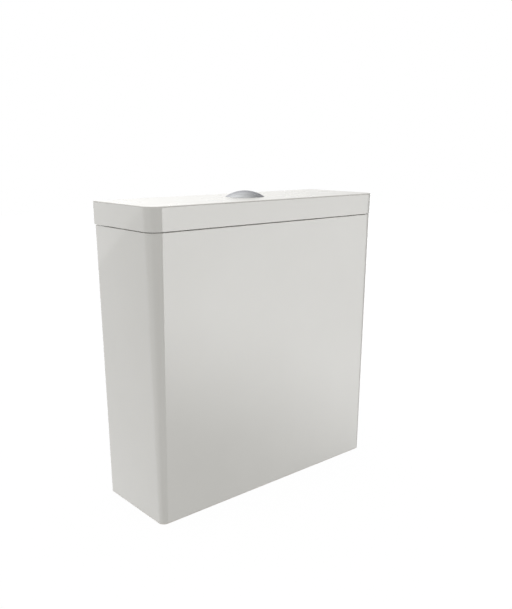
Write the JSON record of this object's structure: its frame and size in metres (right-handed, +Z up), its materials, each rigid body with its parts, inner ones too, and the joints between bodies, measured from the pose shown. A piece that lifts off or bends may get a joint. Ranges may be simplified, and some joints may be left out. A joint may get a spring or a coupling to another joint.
{
  "type": "toilet cistern",
  "caption": "Close-coupled toilet cistern: slab-sided glazed ceramic tank with a lift-off lid, a domed dual-flush button, a lever-lifted flush valve and a float fill valve.",
  "frame": {"origin": "middle of the tank's foot, on the plane it stands on", "axes": "+Z up, -Y towards the front, +Y towards the wall, +X to the right seen from the front"},
  "size_m": [0.371, 0.1245, 0.3928],
  "materials": {
    "glaze": "gloss white glaze",
    "chrome": "satin chrome plate",
    "steel": "bright wire",
    "white_plastic": "moulded",
    "pale_plastic": "moulded",
    "grey_plastic": "moulded",
    "blue_plastic": "moulded",
    "green_plastic": "moulded",
    "black_rubber": "matt",
    "red_rubber": "matt",
    "pad_rubber": "matt"
  },
  "bodies": {
    "cistern": {"tank": "glaze", "valve_base": "white_plastic", "base_gasket": "black_rubber", "valve_backnut": "white_plastic", "coupling_gasket": "black_rubber", "valve_cage": "pale_plastic", "bridge": "pale_plastic", "rocker_pins": "steel", "fill_riser": "white_plastic", "fill_washer": "black_rubber", "fill_backnut": "white_plastic", "inlet_strainer": "blue_plastic", "fill_sleeve": "white_plastic", "fill_head": "grey_plastic", "fill_diaphragm": "black_rubber", "fill_cap": "white_plastic", "lever_pin": "steel", "blanking_plug": "white_plastic", "plug_washer": "black_rubber", "plug_nut": "white_plastic"},
    "lid": {"lid": "glaze", "lid_pads": "pad_rubber", "button_ring": "chrome", "button_housing": "white_plastic", "housing_nut": "white_plastic", "housing_washer": "black_rubber", "full_spring": "steel", "half_spring": "steel"},
    "full_button": {"full_button": "chrome", "full_clip": "steel", "full_rod": "blue_plastic", "full_rod_nut": "white_plastic"},
    "half_button": {"half_button": "chrome", "half_clip": "steel", "half_rod": "green_plastic", "half_rod_nut": "white_plastic"},
    "full_rocker": {"full_rocker": "blue_plastic"},
    "half_rocker": {"half_rocker": "green_plastic"},
    "lift_yoke": {"lift_yoke": "blue_plastic"},
    "flush_tube": {"overflow_tube": "white_plastic", "tube_stirrup": "green_plastic", "flush_seal": "red_rubber", "seal_retainer": "white_plastic"},
    "half_flush_float": {"half_flush_float": "pale_plastic"},
    "fill_float": {"fill_float": "pale_plastic", "float_rod": "white_plastic", "float_barrel": "blue_plastic"},
    "fill_lever": {"fill_lever": "blue_plastic", "lever_pad": "black_rubber"}
  },
  "joints": [
    {"name": "lid_lift", "type": "slide", "parent": "cistern", "child": "lid", "axis": [0, 0, 1], "range_m": [0, 0.12]},
    {"name": "full_press", "type": "slide", "parent": "lid", "child": "full_button", "axis": [0, 0, -1], "range_m": [0, 0.008], "stiffness_N_per_m": 250, "springref_m": -0.012, "deforming": ["full_spring"]},
    {"name": "half_press", "type": "slide", "parent": "lid", "child": "half_button", "axis": [0, 0, -1], "range_m": [0, 0.008], "stiffness_N_per_m": 250, "springref_m": -0.012, "deforming": ["half_spring"]},
    {"name": "full_rocker_turn", "type": "hinge", "parent": "cistern", "child": "full_rocker", "pos_m": [-0.024, 0, 0.33], "axis": [0, 1, 0], "range_deg": [0, 28.7]},
    {"name": "half_rocker_turn", "type": "hinge", "parent": "cistern", "child": "half_rocker", "pos_m": [0.027, 0, 0.33], "axis": [0, -1, 0], "range_deg": [0, 28.7]},
    {"name": "yoke_lift", "type": "slide", "parent": "cistern", "child": "lift_yoke", "axis": [0, 0, 1], "range_m": [0, 0.012]},
    {"name": "tube_lift", "type": "slide", "parent": "lift_yoke", "child": "flush_tube", "axis": [0, 0, 1], "range_m": [0, 0.012]},
    {"name": "half_float_rise", "type": "slide", "parent": "cistern", "child": "half_flush_float", "axis": [0, 0, 1], "range_m": [0, 0.03]},
    {"name": "fill_float_rise", "type": "slide", "parent": "cistern", "child": "fill_float", "axis": [0, 0, 1], "range_m": [0, 0.009]},
    {"name": "fill_lever_turn", "type": "hinge", "parent": "cistern", "child": "fill_lever", "pos_m": [-0.137, 0, 0.3172], "axis": [0, 1, 0], "range_deg": [0, 23.5]}
  ],
  "couplings": [
    {"joint": "full_rocker_turn", "follows": "full_press", "rad_per_m": 62.5},
    {"joint": "yoke_lift", "follows": "full_press", "ratio": 1.5},
    {"joint": "half_rocker_turn", "follows": "half_press", "rad_per_m": 62.5},
    {"joint": "tube_lift", "follows": "half_press", "ratio": 1.5},
    {"joint": "fill_lever_turn", "follows": "fill_float_rise", "rad_per_m": 45.455}
  ]
}
